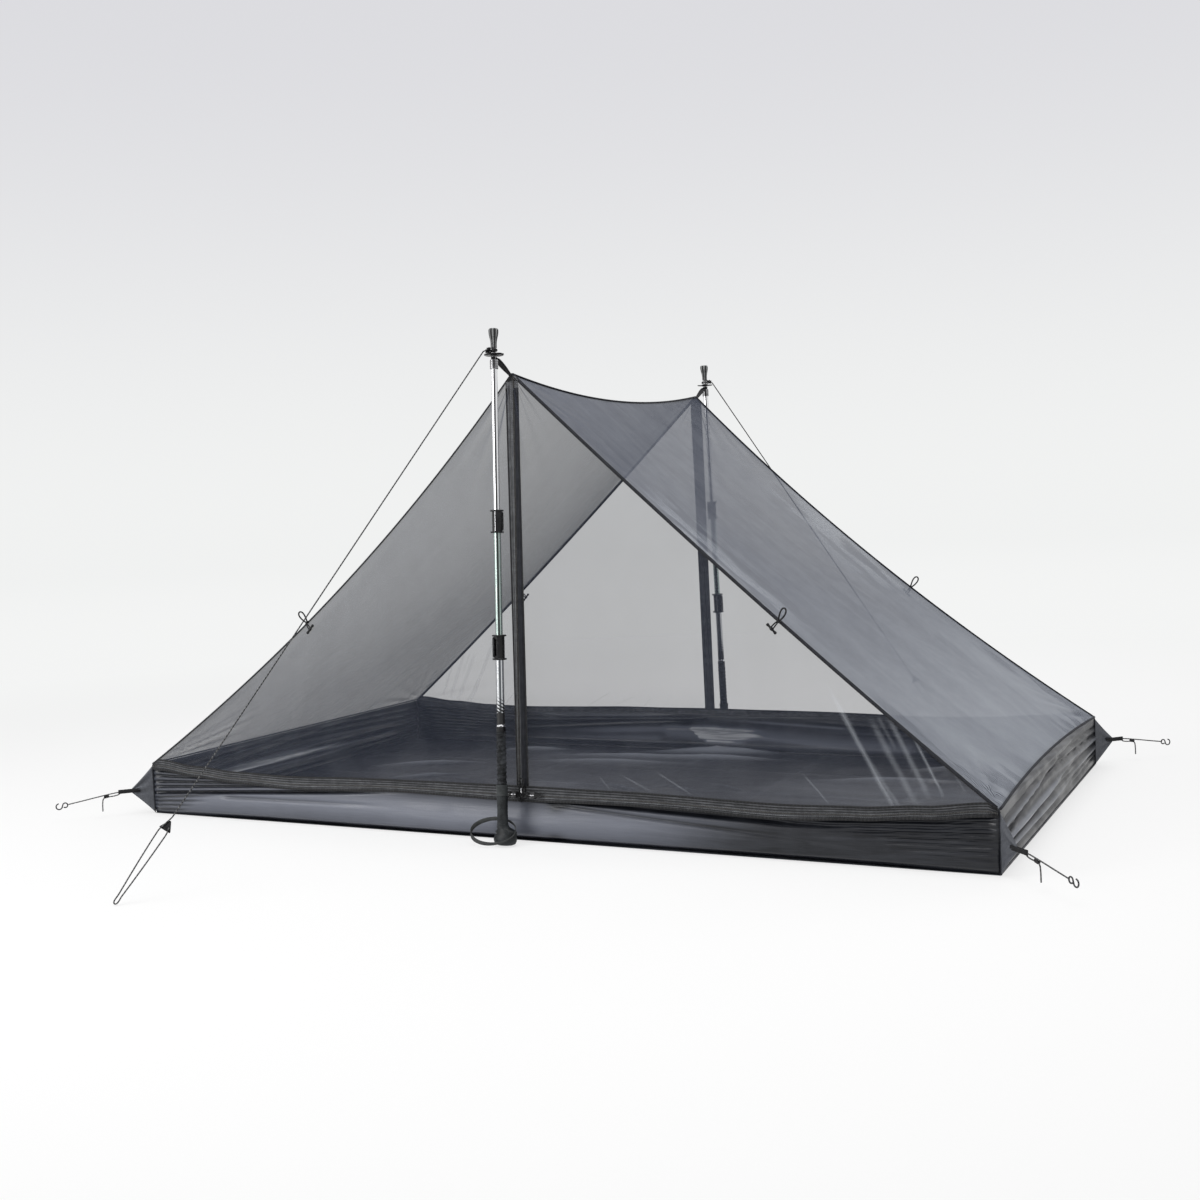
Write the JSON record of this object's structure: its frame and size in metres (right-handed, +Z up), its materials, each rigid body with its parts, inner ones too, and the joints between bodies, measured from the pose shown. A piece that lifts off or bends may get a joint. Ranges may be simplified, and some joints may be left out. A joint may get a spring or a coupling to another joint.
{
  "type": "camping tent",
  "caption": "Mesh inner tent for two, on a bathtub floor, held up at a front and a rear peak by upturned trekking poles, with a zipped door on both long sides",
  "frame": {"origin": "on the ground under the middle of the floor", "axes": "+X along the long side to the right seen from the front door, +Y from the front door to the rear door, +Z up"},
  "size_m": [2.5496, 2.7244, 1.1679],
  "materials": {
    "mesh": "fine black insect mesh, grey against the light",
    "coated_cloth": "dark coated ripstop with a soft shine and wrinkles",
    "seam_tape": "folded binding tape, stitched",
    "zip_tape": "woven tape with a coil zip, grey brown",
    "webbing": "black woven webbing",
    "cord": "braided cord with pale and dark flecks",
    "hook_metal": "dark grey coated wire",
    "slider_metal": "black enamelled slider",
    "polished_tube": "bright polished tube",
    "grey_green_tube": "grey green anodised tube",
    "silver_tube": "satin silver tube with black stripes, no lettering",
    "foam": "black ribbed foam and moulded rubber",
    "rubber": "black rubber foot",
    "black_plastic": "black moulded plastic"
  },
  "bodies": {
    "tent": {"floor": "coated_cloth", "wall_left": "coated_cloth", "wall_right": "coated_cloth", "end_panel_left": "mesh", "end_panel_right": "mesh", "ridge_tape": "seam_tape", "wall_front": "coated_cloth", "base_zip_front": "zip_tape", "tip_section_front": "polished_tube", "basket_front": "black_plastic", "tip_cover_front": "rubber", "peak_strap_front": "webbing", "guy_line_front": "cord", "guy_tensioner_front": "black_plastic", "seam_front_left": "seam_tape", "corner_tab_front_left": "coated_cloth", "corner_cord_front_left": "cord", "corner_hook_front_left": "hook_metal", "seam_front_right": "seam_tape", "corner_tab_front_right": "coated_cloth", "corner_cord_front_right": "cord", "corner_hook_front_right": "hook_metal", "wall_rear": "coated_cloth", "base_zip_rear": "zip_tape", "tip_section_rear": "polished_tube", "basket_rear": "black_plastic", "tip_cover_rear": "rubber", "peak_strap_rear": "webbing", "guy_line_rear": "cord", "guy_tensioner_rear": "black_plastic", "seam_rear_right": "seam_tape", "corner_tab_rear_right": "coated_cloth", "corner_cord_rear_right": "cord", "corner_hook_rear_right": "hook_metal", "seam_rear_left": "seam_tape", "corner_tab_rear_left": "coated_cloth", "corner_cord_rear_left": "cord", "corner_hook_rear_left": "hook_metal"},
    "middle_section_body_front": {"middle_section_front": "grey_green_tube"},
    "grip_body_front": {"grip_section_front": "silver_tube", "grip_front": "foam"},
    "upper_lever_body_front": {"upper_lever_front": "black_plastic"},
    "lower_lever_body_front": {"lower_lever_front": "black_plastic"},
    "wrist_strap_body_front": {"wrist_strap_front": "webbing"},
    "zip_slider_body_front": {"zip_slider_front": "slider_metal"},
    "door_body_front_left": {"door_front_left": "mesh", "zip_tape_front_left": "zip_tape"},
    "door_body_front_right": {"door_front_right": "mesh", "zip_tape_front_right": "zip_tape"},
    "middle_section_body_rear": {"middle_section_rear": "grey_green_tube"},
    "grip_body_rear": {"grip_section_rear": "silver_tube", "grip_rear": "foam"},
    "upper_lever_body_rear": {"upper_lever_rear": "black_plastic"},
    "lower_lever_body_rear": {"lower_lever_rear": "black_plastic"},
    "wrist_strap_body_rear": {"wrist_strap_rear": "webbing"},
    "zip_slider_body_rear": {"zip_slider_rear": "slider_metal"},
    "door_body_rear_right": {"door_rear_right": "mesh", "zip_tape_rear_right": "zip_tape"},
    "door_body_rear_left": {"door_rear_left": "mesh", "zip_tape_rear_left": "zip_tape"}
  },
  "joints": [
    {"name": "middle_slide_front", "type": "slide", "parent": "tent", "child": "middle_section_body_front", "axis": [0, 0.0547, 0.9985], "range_m": [0, 0.31]},
    {"name": "grip_slide_front", "type": "slide", "parent": "middle_section_body_front", "child": "grip_body_front", "axis": [0, 0.0547, 0.9985], "range_m": [0, 0.22]},
    {"name": "upper_lever_hinge_front", "type": "hinge", "parent": "middle_section_body_front", "child": "upper_lever_body_front", "pos_m": [0.00347, -0.6493, 0.7337], "axis": [0, -0.0547, -0.9985], "range_deg": [0, 120]},
    {"name": "lower_lever_hinge_front", "type": "hinge", "parent": "grip_body_front", "child": "lower_lever_body_front", "pos_m": [-0.00373, -0.63807, 0.44796], "axis": [0, -0.0547, -0.9985], "range_deg": [0, 120]},
    {"name": "wrist_strap_hinge_front", "type": "hinge", "parent": "grip_body_front", "child": "wrist_strap_body_front", "pos_m": [0.0354, -0.67482, 0.03181], "axis": [0, 0.9985, -0.0547], "range_deg": [0, 50]},
    {"name": "zip_slide_front", "type": "slide", "parent": "tent", "child": "zip_slider_body_front", "axis": [0, 0.0848, 0.9964], "range_m": [0, 0.82]},
    {"name": "door_hinge_front_left", "type": "hinge", "parent": "tent", "child": "door_body_front_left", "pos_m": [-0.52375, -0.58261, 0.56929], "axis": [0.7591, 0.0552, 0.6487], "range_deg": [0, 48]},
    {"name": "door_hinge_front_right", "type": "hinge", "parent": "tent", "child": "door_body_front_right", "pos_m": [0.52375, -0.58261, 0.56929], "axis": [0.7591, -0.0552, -0.6487], "range_deg": [0, 48]},
    {"name": "middle_slide_rear", "type": "slide", "parent": "tent", "child": "middle_section_body_rear", "axis": [0, -0.0547, 0.9985], "range_m": [0, 0.31]},
    {"name": "grip_slide_rear", "type": "slide", "parent": "middle_section_body_rear", "child": "grip_body_rear", "axis": [0, -0.0547, 0.9985], "range_m": [0, 0.22]},
    {"name": "upper_lever_hinge_rear", "type": "hinge", "parent": "middle_section_body_rear", "child": "upper_lever_body_rear", "pos_m": [-0.00347, 0.6493, 0.7337], "axis": [0, 0.0547, -0.9985], "range_deg": [0, 120]},
    {"name": "lower_lever_hinge_rear", "type": "hinge", "parent": "grip_body_rear", "child": "lower_lever_body_rear", "pos_m": [0.00373, 0.63807, 0.44796], "axis": [0, 0.0547, -0.9985], "range_deg": [0, 120]},
    {"name": "wrist_strap_hinge_rear", "type": "hinge", "parent": "grip_body_rear", "child": "wrist_strap_body_rear", "pos_m": [-0.0354, 0.67482, 0.03181], "axis": [0, -0.9985, -0.0547], "range_deg": [0, 50]},
    {"name": "zip_slide_rear", "type": "slide", "parent": "tent", "child": "zip_slider_body_rear", "axis": [0, -0.0848, 0.9964], "range_m": [0, 0.82]},
    {"name": "door_hinge_rear_right", "type": "hinge", "parent": "tent", "child": "door_body_rear_right", "pos_m": [0.52375, 0.58261, 0.56929], "axis": [-0.7591, -0.0552, 0.6487], "range_deg": [0, 48]},
    {"name": "door_hinge_rear_left", "type": "hinge", "parent": "tent", "child": "door_body_rear_left", "pos_m": [-0.52375, 0.58261, 0.56929], "axis": [-0.7591, 0.0552, -0.6487], "range_deg": [0, 48]}
  ]
}
